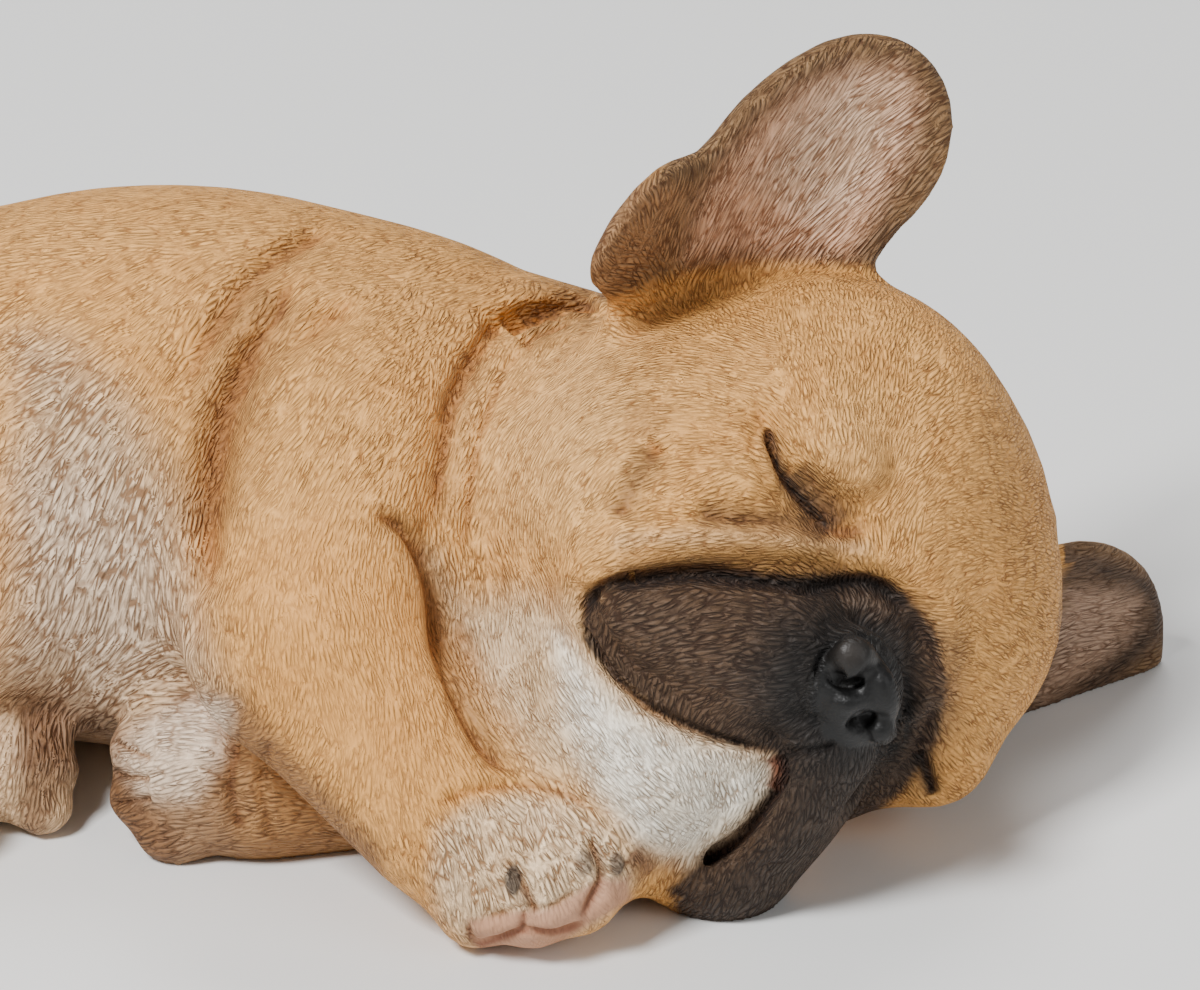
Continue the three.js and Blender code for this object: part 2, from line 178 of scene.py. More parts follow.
LINE_REACH = 2.4
CUT_TAPER = 0.15
MOUND_TOP = 0.25


def cut(view, line, wide, deep):
    """Cuts a groove of a width and depth in millimetres along a drawn line. Under 0 it raises a ridge."""
    half = wide * DOTS / 2
    near, off, along = view.off(line, half * LINE_REACH)
    ends = ramp(along, 0, CUT_TAPER) * ramp(1 - along, 0, CUT_TAPER)
    depth = deep * np.exp(-((off / half) ** 2)) * ends * view.sight[near]
    view.places[near] -= view.facings[near] * depth[:, None]


def swell(view, at, half, turn, high):
    """Raises an oval mound, in dots and millimetres, turned clockwise by degrees."""
    angle = math.radians(turn)
    d = view.dots - np.array(at)
    a = (d[:, 0] * math.cos(angle) + d[:, 1] * math.sin(angle)) / half[0]
    b = (-d[:, 0] * math.sin(angle) + d[:, 1] * math.cos(angle)) / half[1]
    far = np.sqrt(a**2 + b**2)
    lift = high * (1 - ramp(far, MOUND_TOP, 1.0)) * view.sight
    view.places += view.facings * lift[:, None]


# Each groove and ridge is a line in dots, then its width and its depth or height in millimetres.
GROOVES = [
    # shoulder, ribs, arm and neck
    (((300, 268), (275, 310), (247, 360), (225, 410), (212, 470), (204, 540), (200, 610)), 5.5, 3.2),
    (((330, 228), (285, 255), (240, 295), (205, 345), (185, 400)), 4.0, 1.2),
    (((350, 300), (320, 325), (285, 365)), 4.0, 0.7),
    (((545, 296), (505, 320), (478, 350), (455, 400), (443, 460), (436, 530)), 3.2, 1.3),
    (((585, 310), (540, 335), (505, 370), (482, 430), (470, 490), (462, 560)), 2.2, 0.7),
    (((600, 300), (570, 302), (535, 318), (512, 335)), 5.0, 3.2),
    (
        ((366, 512), (400, 524), (424, 556), (436, 600), (442, 650), (462, 700), (485, 745), (515, 782)),
        3.0, 2.6,
    ),
    (((430, 808), (470, 792), (520, 784), (560, 792), (590, 808)), 2.4, 1.0),
    (((268, 740), (262, 790), (272, 840)), 2.4, 1.0),
    (((240, 730), (232, 780), (240, 830)), 2.0, 0.7),
    # eyes and brow
    (((766, 425), (772, 447), (780, 470), (797, 494), (818, 516), (832, 531)), 1.2, 2.4),
    (((750, 425), (758, 462), (776, 494), (800, 520)), 2.4, 0.8),
    (((660, 440), (640, 475), (616, 520)), 5.0, 1.2),
    (((690, 512), (730, 520), (780, 524), (826, 534), (868, 533)), 3.0, 1.2),
    (((918, 752), (926, 772), (934, 796)), 2.2, 2.2),
    # above the muzzle, and round the nose
    (
        (
            (583, 622), (589, 600), (608, 586), (644, 578), (703, 573), (764, 580), (815, 586),
            (861, 582), (890, 594), (904, 615),
        ),
        2.4, 2.6,
    ),
    (((905, 612), (926, 640), (936, 675), (930, 725), (905, 765)), 2.6, 0.9),
    (((846, 636), (824, 655), (816, 676)), 1.4, 1.2),
    (((846, 636), (872, 640), (894, 668), (902, 705), (896, 735), (876, 748)), 1.5, 1.4),
    # lips
    (((577, 620), (590, 644), (615, 676), (655, 710), (715, 738), (775, 753)), 1.9, 2.4),
    (((775, 753), (782, 775), (768, 802), (738, 838), (692, 866)), 1.9, 2.6),
    (((838, 745), (815, 752), (776, 753)), 1.8, 1.4),
    # nostrils
    (((822, 672), (834, 682), (850, 684), (864, 678)), 1.5, 1.4),
    (((846, 732), (855, 721), (866, 716), (876, 721)), 1.5, 1.2),
    # toes and pads
    (((504, 856), (520, 880), (530, 900), (536, 914)), 2.0, 1.3),
    (((588, 838), (597, 856), (601, 872), (598, 886), (580, 920)), 1.8, 1.5),
    (((467, 920), (470, 936), (479, 944), (498, 939), (523, 931), (563, 931), (590, 918)), 1.3, 1.2),
    (((524, 912), (521, 931)), 1.2, 1.0),
    (((483, 918), (518, 910), (541, 910), (561, 901), (586, 886)), 1.3, 0.7),
    # toes of the lower foreleg
    (((112, 742), (132, 752), (150, 758)), 1.6, 1.3),
    (((106, 772), (128, 778), (150, 780)), 1.6, 1.4),
    (((110, 804), (132, 802), (152, 800)), 1.6, 1.3),
]
RIDGES = [
    # brow line, cheek edge, corner of the muzzle, nose wing and the top of the muzzle
    (((605, 540), (650, 534), (750, 535), (820, 541), (880, 548)), 4.6, 1.3),
    (((640, 515), (622, 535), (598, 556), (580, 585)), 4.0, 0.6),
    (((596, 600), (606, 588), (620, 580)), 1.8, 0.8),
    (((813, 714), (813, 696), (820, 682)), 1.4, 0.9),
    (((840, 606), (865, 604), (888, 622)), 4.0, 0.8),
]
# Each mound is its middle and half sizes in dots, its turn in degrees and its height in millimetres.
MOUNDS = [
    # eyelid, cheek under it, flew and chin
    ((848, 458), (60, 44), 40, 3.0),
    ((740, 470), (50, 36), 10, 0.9),
    ((700, 640), (90, 60), 10, 1.2),
    ((790, 830), (60, 45), -40, 1.0),
    # nose
    ((852, 656), (30, 26), 30, 3.4),
    ((882, 730), (19, 17), 0, 2.4),
    ((886, 692), (15, 36), -12, 1.8),
    ((845, 704), (26, 12), -8, 0.8),
    # claws, pads and toes
    ((512, 880), (9, 17), -8, 1.1),
    ((584, 863), (10, 14), -20, 0.9),
    ((617, 864), (8, 13), -5, 0.9),
    ((496, 926), (26, 11), -10, 1.0),
    ((556, 918), (30, 12), -25, 1.0),
    ((606, 902), (18, 13), -40, 0.8),
    ((500, 850), (34, 44), 0, 1.2),
    ((565, 840), (30, 40), -20, 1.2),
]

sides = FrontView(places_of(puppy), facings_of(puppy))
flat_below = sides.places[:, 2] < UNDERSIDE_REACH
for line, wide, deep in GROOVES:
    cut(sides, line, wide, deep)
for line, wide, high in RIDGES:
    cut(sides, line, wide, -high)
for at, half, turn, high in MOUNDS:
    swell(sides, at, half, turn, high)
sides.places[flat_below, 2] = 0
sides.places[:, 2] = np.maximum(sides.places[:, 2], 0)
place(puppy, sides.places)

thinner = puppy.modifiers.new("thinner", "DECIMATE")
thinner.ratio = min(1, MOST_TRIANGLES / (2 * len(puppy.data.polygons)))
thinner.use_collapse_triangulate = True
bpy.ops.object.modifier_apply(modifier=thinner.name)
bpy.ops.object.shade_smooth()


# The paint: a fawn coat with cream on the belly, throat and paws, a dark mask and a black nose, and a thin
# brown wash that stays in the cuts, with painted shade in the folds, by the eyes, under the belly and on the
# lower foreleg, and painted highlights on the eyelid and the nose. The brush follows the hair, so the comb is
# laid over the figure first.

# Each guide is a place on the skin in millimetres, and the way its hair points. Away from the guides, the hair
# lies back from the nose on the head, and toward the tail on the body.
COMB = [
    ((-60, 19, 102), (-1.0, 0.1, -0.2)),
    ((-34, 27, 104), (-0.9, -0.3, 0.0)),
    ((-9, 25, 99), (-0.8, -0.6, 0.1)),
    ((14, 26, 93), (-0.6, -0.8, 0.2)),
    ((31, 20, 91), (-0.7, -0.7, 0.1)),
    ((-59, -4, 95), (-0.9, -0.3, -0.3)),
    ((-40, -5, 95), (-0.7, -0.6, -0.4)),
    ((-21, -7, 96), (-0.6, -0.7, -0.4)),
    ((5, -8, 97), (-0.5, -0.9, 0.0)),
    ((-58, -19, 81), (-0.7, -0.4, -0.7)),
    ((-43, -20, 82), (-0.4, -0.5, -0.8)),
    ((-59, -27, 67), (-0.5, -0.4, -0.8)),
    ((-43, -29, 68), (-0.2, -0.3, -0.9)),
    ((-59, -31, 47), (-0.5, 0.0, -0.9)),
    ((-46, -32, 52), (-0.1, 0.1, -1.0)),
    ((-34, -41, 57), (0.1, -0.7, -0.7)),
    ((-58, -24, 26), (-0.5, 0.2, -0.8)),
    ((-13, -26, 91), (-0.7, -0.4, -0.6)),
    ((5, -29, 89), (-0.6, -0.7, -0.5)),
    ((-20, -36, 80), (-0.5, -0.5, -0.7)),
    ((-7, -45, 76), (-0.3, -0.7, -0.6)),
    ((-26, -47, 69), (-0.2, -0.9, -0.5)),
    ((-12, -61, 64), (0.1, -0.5, -0.8)),
    ((0, -54, 64), (0.1, -0.7, -0.7)),
    ((-7, -67, 50), (0.3, -0.3, -0.9)),
    ((6, -68, 46), (0.3, -0.5, -0.8)),
    ((2, -74, 33), (0.3, -0.2, -0.9)),
    ((13, -76, 30), (0.4, -0.3, -0.9)),
    ((11, -78, 18), (0.2, 0.0, -1.0)),
    ((24, -73, 32), (0.6, -0.5, -0.6)),
    ((30, -78, 27), (0.3, -0.6, -0.7)),
    ((41, -76, 28), (0.7, -0.2, -0.7)),
    ((21, -80, 20), (0.2, -0.2, -1.0)),
    ((20, -7, 90), (-0.3, -0.9, -0.1)),
    ((20, -29, 82), (-0.2, -0.6, -0.8)),
    ((19, -39, 64), (0.1, -0.3, -0.9)),
    ((24, -50, 49), (0.3, -0.8, -0.6)),
    ((33, -65, 41), (0.5, -0.7, -0.5)),
    ((43, -73, 35), (0.7, -0.4, -0.6)),
    ((57, -73, 28), (0.5, 0.6, -0.7)),
    ((35, -30, 93), (-0.8, -0.2, -0.6)),
    ((35, -50, 83), (-0.4, -0.0, -0.9)),
    ((33, -51, 62), (0.1, -0.6, -0.8)),
    ((43, -67, 50), (0.5, -0.6, -0.6)),
    ((52, -74, 39), (0.7, -0.0, -0.7)),
    ((67, -69, 35), (0.9, 0.2, -0.3)),
    ((48, -53, 91), (-0.9, -0.1, -0.5)),
    ((50, -16, 101), (-0.9, 0.0, 0.4)),
    ((61, -38, 101), (-1.0, 0.2, -0.0)),
    ((61, -51, 94), (-1.0, 0.1, -0.2)),
    ((69, -11, 104), (-0.3, 1.0, -0.1)),
    ((84, -11, 106), (-0.0, 1.0, -0.0)),
    ((91, -29, 103), (0.1, 1.0, 0.2)),
    ((99, -9, 103), (0.2, 1.0, -0.1)),
    ((108, -27, 96), (0.4, 0.9, -0.1)),
    ((117, -28, 82), (0.4, 0.8, -0.3)),
    ((83, -47, 96), (-0.3, 0.5, 0.8)),
    ((94, -45, 91), (0.4, 0.7, 0.7)),
    ((104, -46, 76), (0.8, 0.5, -0.1)),
    ((119, -35, 63), (0.6, 0.7, -0.5)),
    ((109, -48, 57), (0.6, 0.7, -0.5)),
    ((118, -40, 40), (0.5, 0.6, -0.6)),
    ((108, -44, 29), (0.5, 0.3, -0.8)),
    ((50, -61, 83), (-1.0, 0.1, -0.3)),
    ((70, -59, 83), (-1.0, -0.2, 0.2)),
    ((89, -51, 75), (-0.6, 0.5, 0.6)),
    ((98, -52, 70), (0.3, 0.4, 0.8)),
    ((50, -69, 68), (-0.9, 0.1, -0.3)),
    ((61, -68, 72), (-1.0, -0.1, -0.0)),
    ((61, -70, 56), (-0.8, 0.4, -0.5)),
    ((75, -71, 65), (-1.0, -0.0, 0.1)),
    ((76, -72, 53), (-0.9, 0.1, -0.4)),
    ((68, -68, 44), (-0.9, -0.2, -0.4)),
    ((89, -55, 65), (-0.2, 0.5, 0.9)),
    ((100, -51, 54), (1.0, 0.3, 0.1)),
    ((101, -51, 37), (0.4, 0.7, -0.6)),
    ((91, -66, 35), (0.2, 0.4, -0.9)),
    ((76, -70, 31), (-0.4, 0.3, -0.9)),
    ((65, -63, 16), (-0.5, 0.3, -0.8)),
    ((80, -65, 17), (-0.3, 0.3, -0.9)),
    ((69, -66, 7), (-0.3, 0.4, -0.9)),
    ((61, -6, 115), (0.3, 0.1, 0.9)),
    ((71, 1, 113), (0.5, 0.3, 0.8)),
    ((84, 7, 110), (0.5, 0.3, 0.8)),
    ((61, -10, 127), (0.3, -0.0, 1.0)),
    ((72, 0, 128), (0.4, 0.2, 0.9)),
    ((86, 9, 130), (0.6, 0.3, 0.7)),
    ((94, 12, 120), (0.6, 0.3, 0.7)),
    ((80, 3, 143), (0.5, 0.4, 0.8)),
    ((95, 15, 140), (0.7, 0.4, 0.5)),
    ((105, 18, 134), (0.8, 0.6, 0.1)),
    ((103, 14, 119), (0.8, 0.3, 0.4)),
    ((50, -22, 125), (-0.3, -0.7, 0.7)),
    ((44, -25, 118), (-0.4, -0.6, 0.7)),
    ((135, 23, 18), (0.8, 0.5, -0.0)),
    ((145, 29, 16), (0.9, 0.5, 0.1)),
    ((133, 22, 2), (0.8, 0.6, 0.0)),
    ((140, 24, 26), (0.8, 0.6, -0.2)),
    ((-7, -70, 35), (-0.8, 0.5, -0.3)),
    ((-21, -57, 32), (-0.5, 0.8, -0.4)),
    ((-33, -45, 20), (-1.0, 0.1, -0.2)),
    ((-42, -38, 23), (-0.7, 0.4, -0.5)),
    ((-38, -33, 29), (-0.8, 0.5, 0.0)),
    ((-14, -44, 9), (-0.9, -0.3, 0.2)),
    ((-44, -40, 11), (-0.7, 0.4, -0.5)),
    ((-33, -44, 7), (-1.0, 0.0, -0.2)),
    ((-63, -31, 15), (-0.2, -0.4, -0.9)),
]
COMB_REACH = 13
COMB_LIMIT = 3.2
COMB_FAINT = 0.02
TAIL_WAY = (-1, 0, -0.25)

skin = FrontView(places_of(puppy), facings_of(puppy))
HEAD_CENTRE = np.array((76.0, -21.8, 51.0))
HEAD_LEFT = unit((0.303, 0.06, -0.951))
HEAD_NOSE = unit((0.412, -0.909, 0.073))
HEAD_CROWN = np.cross(HEAD_NOSE, HEAD_LEFT)
HEAD_OVAL = (0.8, 1, 0.9)
HEAD_RADIUS = 50
HEAD_EDGE = 14
NOSE_AWAY = 52
in_head = (skin.places - HEAD_CENTRE) @ np.stack((HEAD_LEFT, HEAD_NOSE, HEAD_CROWN), 1)


def combed(view):
    """The way the hair lies at each vertex, from the guides near it."""
    nose_tip = HEAD_CENTRE + NOSE_AWAY * HEAD_NOSE
    back = unit(view.places - nose_tip)
    tail = np.tile(unit(TAIL_WAY), (len(back), 1))
    headed = ramp(HEAD_RADIUS + HEAD_EDGE - np.linalg.norm(in_head * HEAD_OVAL, axis=1), 0, HEAD_EDGE)
    way = COMB_FAINT * (back * headed[:, None] + tail * (1 - headed[:, None]))
    for at, along in COMB:
        off = np.linalg.norm(view.places - np.array(at), axis=1)
        near = off < COMB_LIMIT * COMB_REACH
        way[near] += np.exp(-((off[near] / COMB_REACH) ** 2))[:, None] * np.array(along)
    way -= np.einsum("ij,ij->i", way, view.facings)[:, None] * view.facings
    return unit(way)


comb = combed(skin)
across = np.cross(skin.facings, comb)


def tint(red, green, blue):
    """A colour chip's numbers out of 255 as light."""
    chip = np.array((red, green, blue)) / 255
    return np.where(chip < 0.04045, chip / 12.92, ((chip + 0.055) / 1.055) ** 2.4)


def inside(dots, outline, soft):
    """How far within a drawn outline each vertex falls, from 0 to 1, over a soft edge of dots."""
    ring = np.asarray(outline, float)
    closed = np.concatenate((ring, ring[:1]))
    odd = np.zeros(len(dots), bool)
    edge = np.full(len(dots), FAR_OFF)
    for a, b in zip(closed[:-1], closed[1:]):
        leg = b - a
        share = np.clip(((dots - a) @ leg) / max(leg @ leg, TINY), 0, 1)
        edge = np.minimum(edge, np.linalg.norm(dots - a - share[:, None] * leg, axis=1))
        crossing = (a[1] > dots[:, 1]) != (b[1] > dots[:, 1])
        where = a[0] + (dots[:, 1] - a[1]) / (leg[1] if leg[1] else TINY) * leg[0]
        odd ^= crossing & (dots[:, 0] < where)
    return ramp(np.where(odd, edge, -edge), -soft, soft)


def oval(at, half, soft):
    """1 within an egg in the head's millimetres and 0 outside it, over a soft share of its size."""
    return 1 - ramp(np.linalg.norm((in_head - np.array(at)) / np.array(half), axis=1), 1 - soft, 1 + soft)


FAWN = tint(230, 170, 94)
CREAM = tint(218, 192, 160)
WHITE = tint(255, 247, 230)
MASK = tint(82, 63, 48)
BLACK = tint(24, 21, 19)
BROWN = tint(112, 74, 42)

# Every touch of the brush below gives a colour and an outline, with how soft its edge is in dots and how much
# paint it takes. Every stain gives a line in dots, its width in millimetres, how much paint it takes and its
# colour.
coat = np.tile(FAWN, (len(skin.places), 1))


def brush(colour, share):
    """Lays a colour over the coat by a share at each vertex."""
    global coat
    coat = coat + np.clip(share, 0, 1)[:, None] * (colour - coat)


corners = np.zeros(len(puppy.data.loops), np.int32)
puppy.data.loops.foreach_get("vertex_index", corners)
triangles = corners.reshape(-1, 3)
ends, next_ends = np.concatenate([triangles[:, (0, 1)], triangles[:, (1, 2)], triangles[:, (2, 0)]]).T
SIGHT_ROUNDS = 5
LEVEL_ROUNDS = 10


def grown(share, rounds):
    """The same share, spread over the skin round it."""
    for _ in range(rounds):
        widened = share.copy()
        np.maximum.at(widened, ends, share[next_ends])
        np.maximum.at(widened, next_ends, share[ends])
        share = widened
    return share


seen = grown(skin.sight, SIGHT_ROUNDS)
dots = skin.dots
EAR_ALL = (
    (575, 240), (600, 205), (650, 178), (690, 130), (730, 85), (780, 45), (850, 28), (920, 35),
    (960, 70), (962, 110), (938, 190), (878, 268), (820, 262), (750, 258), (690, 270), (640, 290),
    (600, 300),
)
EAR_INSIDE = (
    (688, 258), (700, 205), (740, 145), (795, 92), (850, 68), (900, 68), (918, 100), (905, 150),
    (875, 215), (850, 252),
)
LEFT_EAR = (
    (1058, 545), (1105, 555), (1150, 575), (1175, 600), (1165, 640), (1120, 680), (1070, 712),
    (1005, 735), (1030, 690), (1055, 630),
)
BELLY = (
    (20, 340), (60, 345), (120, 400), (180, 500), (195, 620), (215, 690), (140, 700), (110, 760),
    (20, 760),
)
MASK_LINE = (
    (580, 622), (588, 600), (608, 582), (660, 574), (720, 570), (800, 576), (868, 574), (905, 592),
    (935, 630), (948, 680), (938, 740), (905, 790), (860, 830), (830, 862), (800, 900), (775, 945),
    (690, 945), (668, 890), (692, 868), (738, 840), (768, 804), (780, 775), (775, 753), (715, 738),
    (655, 710), (615, 676), (590, 645),
)
PAW = (
    (440, 830), (470, 806), (520, 794), (570, 800), (610, 826), (628, 850), (632, 880), (600, 920),
    (540, 950), (480, 955), (440, 920), (432, 870),
)
PADS = (
    (467, 920), (483, 917), (518, 910), (541, 910), (561, 901), (586, 886), (602, 878), (628, 878),
    (632, 900), (590, 925), (540, 958), (480, 955),
)
LOW_LEG = ((180, 690), (240, 690), (300, 760), (385, 850), (385, 880), (140, 870), (105, 810), (105, 750))


def concave():
    """How far each place lies below the skin round it, in millimetres."""
    count = np.bincount(ends, minlength=len(skin.places))
    level = skin.places
    for _ in range(LEVEL_ROUNDS):
        level = np.stack(
            [np.bincount(ends, level[next_ends, i], minlength=len(level)) / count for i in range(3)], 1
        )
    return np.einsum("ij,ij->i", level - skin.places, skin.facings)


def on(outline, soft, share=1.0):
    """A share of paint within an outline, on the skin that the front view shows."""
    return share * seen * inside(dots, outline, soft)


STAIN_TAPER = 0.12


def stain(line, wide, share, colour):
    """Draws a soft line of wash, with its width in millimetres."""
    half = wide * DOTS / 2
    near, off, along = skin.off(line, half * LINE_REACH)
    amount = np.zeros(len(dots))
    amount[near] = np.exp(-((off / half) ** 2))
    amount[near] *= ramp(along, 0, STAIN_TAPER)
    amount[near] *= ramp(1 - along, 0, STAIN_TAPER)
    brush(colour, share * amount * seen)


def dab(at, reach):
    """A round touch of the brush, soft over a reach in dots."""
    return np.exp(-np.sum((dots - at) ** 2, 1) / reach**2)


# belly, with painted shade low on the belly over the hind foot
low_torso = ramp(-skin.places[:, 1], -20, 30)
low_torso *= ramp(60 - skin.places[:, 2], 0, 40)
low_torso *= ramp(20 - skin.places[:, 0], 0, 30)
brush(CREAM, 0.7 * low_torso * (1 - ramp(skin.places[:, 0], -35, -20)))
brush(CREAM, on(BELLY, 45, 0.85))
BELLY_PINK = ((20, 470), (90, 470), (150, 540), (170, 640), (120, 690), (20, 660))
brush(tint(222, 204, 186), on(BELLY_PINK, 50, 0.45))
# painted shade on the underside of the belly, above the hind foot
BELLY_PAINTED_SHADE = ((20, 690), (60, 690), (110, 715), (140, 740), (110, 770), (20, 770))
brush(tint(170, 134, 104), on(BELLY_PAINTED_SHADE, 25, 0.85))
# throat, cheek, painted highlight on the eyelid, upper arm and chin
THROAT = (
    (430, 560), (470, 600), (520, 590), (570, 600), (600, 660), (660, 712), (775, 757), (780, 790),
    (740, 835), (690, 866), (640, 850), (600, 800), (540, 770), (480, 690), (445, 620),
)
brush(tint(228, 204, 168), on(THROAT, 35, 0.8))
CHEEK = ((470, 400), (560, 330), (640, 340), (650, 430), (600, 520), (550, 570), (480, 560))
brush(tint(248, 194, 124), on(CHEEK, 70, 0.7))
# a lighter dab on the eyelid: a painted highlight
brush(tint(248, 192, 118), 0.6 * seen * dab((850, 450), 44))
UPPER_ARM = ((230, 560), (330, 520), (400, 580), (440, 700), (480, 790), (400, 830), (270, 720))
brush(tint(222, 154, 74), on(UPPER_ARM, 60, 0.5))
CHIN = (
    (560, 640), (600, 690), (640, 722), (700, 745), (770, 762), (772, 790), (735, 832), (690, 862),
    (640, 840), (600, 790), (570, 730),
)
brush(WHITE, on(CHIN, 22))
# the fold over the muzzle, with painted shade below it, and the dark mask
stain(((605, 545), (650, 538), (750, 538), (820, 543), (880, 550)), 4, 0.35, tint(224, 190, 148))
# painted shade in brown between the brow ridge and the groove above the muzzle
stain(
    ((600, 580), (640, 566), (703, 560), (764, 566), (815, 571), (861, 568)),
    4.5, 0.55, tint(104, 74, 48),
)
brush(MASK, oval((2, 40, -16), (30, 18, 25), 0.15) * (1 - skin.sight))
brush(MASK, on(MASK_LINE, 6, 0.98))
stain(((597, 601), (606, 590), (620, 582)), 2.0, 0.6, tint(190, 150, 104))
brush(MASK, 0.9 * oval((0, 20, -40), (38, 24, 16), 0.25) * (1 - seen))
DARKER = (
    (770, 620), (820, 590), (880, 596), (925, 640), (928, 700), (905, 770), (850, 800), (790, 780),
    (755, 735), (745, 670),
)
brush(BLACK, on(DARKER, 44, 0.95))
brush(BLACK, 0.9 * oval((0, 50, -6), (17, 14, 15), 0.2) * (1 - skin.sight))
stain(((842, 604), (866, 600), (890, 618)), 5, 0.5, tint(112, 92, 76))
BESIDE_NOSE = ((920, 600), (965, 640), (960, 720), (920, 790), (930, 700))
brush(tint(110, 86, 64), on(BESIDE_NOSE, 18, 0.55))
# lower lip
LIP = (
    (790, 770), (840, 790), (860, 830), (830, 862), (800, 900), (775, 935), (700, 935), (680, 890),
    (740, 850), (775, 800),
)
brush(tint(44, 36, 29), on(LIP, 30, 0.6))
# nose and nostrils, with a painted highlight on the top of the nose
NOSE_LINE = (
    (835, 640), (870, 640), (895, 670), (902, 715), (890, 742), (850, 750), (822, 738), (814, 700),
    (820, 665),
)
nose = on(NOSE_LINE, 4)
brush(tint(8, 8, 8), nose)
# painted highlight on the top of the nose
brush(tint(46, 41, 37), nose * dab((850, 650), 18) * 0.8)
UPPER_NOSTRIL = ((818, 664), (838, 680), (864, 672), (866, 684), (846, 690), (824, 684))
brush(tint(10, 10, 10), on(UPPER_NOSTRIL, 6, 0.9))
LOWER_NOSTRIL = ((842, 732), (852, 714), (868, 711), (878, 720), (866, 726), (856, 734))
brush(tint(10, 10, 10), on(LOWER_NOSTRIL, 5, 0.9))

# ears
ear_rim = tint(112, 88, 64)
brush(ear_rim, on(EAR_ALL, 8, 0.85))
EAR_LOBE = ((575, 240), (600, 205), (650, 178), (690, 190), (670, 260), (600, 300))
brush(tint(166, 124, 84), on(EAR_LOBE, 14, 0.8))
brush(tint(236, 186, 150), on(EAR_INSIDE, 20, 0.95))
EAR_MIDDLE = ((760, 180), (800, 110), (850, 80), (895, 80), (900, 130), (860, 200), (820, 240))
brush(tint(232, 200, 170), on(EAR_MIDDLE, 26, 0.75))
brush(ear_rim, 0.9 * oval((66, -21, 60), (32, 16, 40), 0.12) * (1 - skin.sight))
low_ear = ramp(in_head[:, 0], 46, 52) * ramp(in_head[:, 2], 5, 20) * ramp(in_head[:, 1], -50, -40)
low_ear = np.maximum(low_ear, ramp(in_head[:, 0], 20, 26) * skin.sight * ramp(dots[:, 0], 1056, 1062))
brush(ear_rim, 0.9 * low_ear)
brush(tint(104, 80, 60), 0.9 * low_ear * seen * inside(dots, LEFT_EAR, 8))
LEFT_EAR_INSIDE = (
    (1062, 590), (1110, 590), (1142, 600), (1125, 645), (1070, 685), (1035, 705), (1050, 650),
)
brush(tint(190, 158, 134), on(LEFT_EAR_INSIDE, 12, 0.85) * low_ear)
stain(
    ((1064, 564), (1110, 571), (1148, 590), (1158, 622), (1130, 655), (1080, 690)),
    2.2, 0.75, tint(70, 54, 42),
)
stain(((860, 262), (878, 240), (900, 200)), 4, 0.4, tint(96, 70, 46))
EAR_BLOCK = (40, 30, 46)
either_ear = oval((-62, -10, 45), EAR_BLOCK, 0.2) + oval((62, -10, 45), EAR_BLOCK, 0.2)
behind_ears = (1 - seen) * np.clip(either_ear, 0, 1)
brush(tint(150, 118, 84), 0.7 * behind_ears)

# paw, pads, lower foreleg and hind foot; the lower foreleg's darker brown is partly painted shade under the
# upper arm
brush(tint(250, 222, 184), on(PAW, 16, 0.85))
brush(tint(182, 134, 106), on(PADS, 5, 0.9))
# darker brown on the lower foreleg: partly its own colour, partly painted shade under the upper arm
brush(tint(130, 92, 58), on(LOW_LEG, 14, 0.75))
LOW_TOES = ((112, 760), (140, 722), (200, 696), (232, 706), (222, 760), (190, 800), (140, 796))
brush(tint(240, 218, 194), on(LOW_TOES, 16, 0.85))
UNDER_LOW_TOES = ((98, 770), (118, 762), (132, 790), (180, 835), (170, 870), (105, 840))
brush(BROWN, on(UNDER_LOW_TOES, 14, 0.75))
HIND_FOOT = ((20, 710), (60, 710), (75, 770), (40, 840), (20, 840))
brush(BROWN, on(HIND_FOOT, 10, 0.7))

# the line round the nose
stain(((846, 634), (822, 655), (812, 690), (816, 735)), 2.0, 0.8, tint(10, 9, 8))
stain(((846, 634), (878, 640), (900, 670), (908, 710), (898, 744), (870, 756)), 2.2, 0.7, tint(12, 11, 10))

# darker brown in the hollows, more where the skin sinks deeper
HOLLOW_BROWN = np.array((0.5, 0.36, 0.24))
hollows = concave()
WHITE_CHIN = (
    (560, 640), (600, 680), (640, 712), (700, 738), (770, 755), (776, 790), (735, 836), (690, 866),
    (600, 800),
)
chin = on(WHITE_CHIN, 10)
hollow_share = 0.85 * ramp(hollows, 0.06, 0.6) * (1 - 0.6 * chin)
coat *= 1 - hollow_share[:, None] * (1 - HOLLOW_BROWN)

# painted shade drawn in brown along the folds at ribs, neck and arm
stain(((290, 285), (250, 345), (226, 405), (214, 470), (206, 540)), 14, 0.55, tint(136, 92, 52))
stain(((330, 230), (285, 257), (240, 297), (205, 347)), 8, 0.3, tint(140, 96, 54))
stain(((480, 350), (456, 400), (444, 460), (438, 530)), 9, 0.3, tint(140, 96, 56))
stain(((600, 304), (560, 306), (520, 326)), 9, 0.75, tint(110, 72, 40))
stain(
    ((366, 514), (400, 526), (424, 558), (436, 600), (442, 650), (462, 700), (485, 745), (515, 782)),
    6, 0.6, tint(120, 82, 48),
)
# cheek strokes and closed eyes, with painted shade beside the inner corner of the eye
stain(((646, 400), (640, 440)), 8, 0.35, tint(140, 98, 60))
stain(((654, 450), (636, 480), (614, 520)), 6, 0.6, tint(96, 62, 36))
stain(((690, 513), (750, 519), (790, 522), (830, 533)), 6, 0.75, tint(110, 78, 50))
stain(((766, 425), (772, 447), (780, 470), (797, 494), (818, 516), (832, 531)), 3.4, 0.8, tint(76, 56, 42))
# painted shade beside the slit and under the inner corner of the eye
stain(((790, 470), (808, 492), (828, 512), (842, 526)), 9, 0.8, tint(72, 50, 34))
stain(((812, 512), (838, 530), (864, 536)), 7, 0.5, tint(132, 92, 58))
stain(((772, 450), (781, 472), (797, 494), (818, 516), (830, 529)), 1.1, 0.95, tint(28, 22, 18))
stain(((918, 752), (926, 772), (934, 796)), 3.5, 0.95, tint(40, 32, 27))
